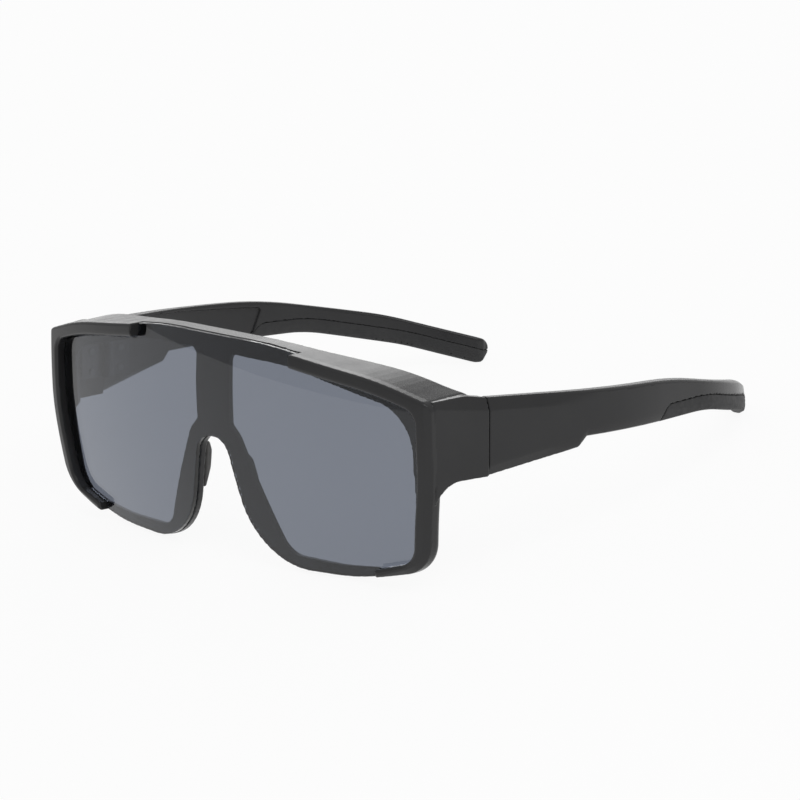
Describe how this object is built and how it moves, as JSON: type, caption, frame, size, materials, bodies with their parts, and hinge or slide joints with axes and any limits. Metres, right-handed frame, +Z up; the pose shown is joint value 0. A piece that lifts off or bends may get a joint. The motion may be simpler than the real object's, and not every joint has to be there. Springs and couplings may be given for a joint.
{
  "type": "sunglasses",
  "caption": "Oversized hiking sunglasses: one curved shield lens in a moulded half-open frame with a deep brow, wide side blocks and folding temples with soft ear grips.",
  "frame": {"origin": "middle of the glasses in plan, on the plane that the lower rims and the temple tips stand on", "axes": "+Z up, -Y out of the front of the lens, +X towards the wearer's left; the open glasses stand on their rims and temple tips"},
  "size_m": [0.1694, 0.1517, 0.061],
  "materials": {
    "frame_plastic": "satin moulded dark grey",
    "temple_plastic": "satin moulded dark grey",
    "lens_tint": "grey tinted, polished",
    "pad_rubber": "soft matte",
    "grip_rubber": "soft matte",
    "hinge_steel": "black oxide",
    "screw_steel": "black oxide"
  },
  "bodies": {
    "front": {"front_frame": "frame_plastic", "shield_lens": "lens_tint", "nose_pad_left": "pad_rubber", "nose_pad_right": "pad_rubber", "hinge_front_leaf_left": "hinge_steel", "hinge_front_leaf_right": "hinge_steel", "hinge_screw_left": "screw_steel", "hinge_screw_right": "screw_steel", "front_rivets_left": "screw_steel", "front_rivets_right": "screw_steel"},
    "left_arm": {"temple_left": "temple_plastic", "ear_grip_left": "grip_rubber", "hinge_temple_leaf_left": "hinge_steel", "temple_rivets_left": "screw_steel"},
    "right_arm": {"temple_right": "temple_plastic", "ear_grip_right": "grip_rubber", "hinge_temple_leaf_right": "hinge_steel", "temple_rivets_right": "screw_steel"}
  },
  "joints": [
    {"name": "left_fold", "type": "hinge", "parent": "front", "child": "left_arm", "pos_m": [0.07165, -0.04919, 0.03665], "axis": [0, 0.1811, 0.9835], "range_deg": [0, 75]},
    {"name": "right_fold", "type": "hinge", "parent": "front", "child": "right_arm", "pos_m": [-0.07165, -0.04919, 0.03665], "axis": [0, -0.1811, -0.9835], "range_deg": [0, 85]}
  ]
}
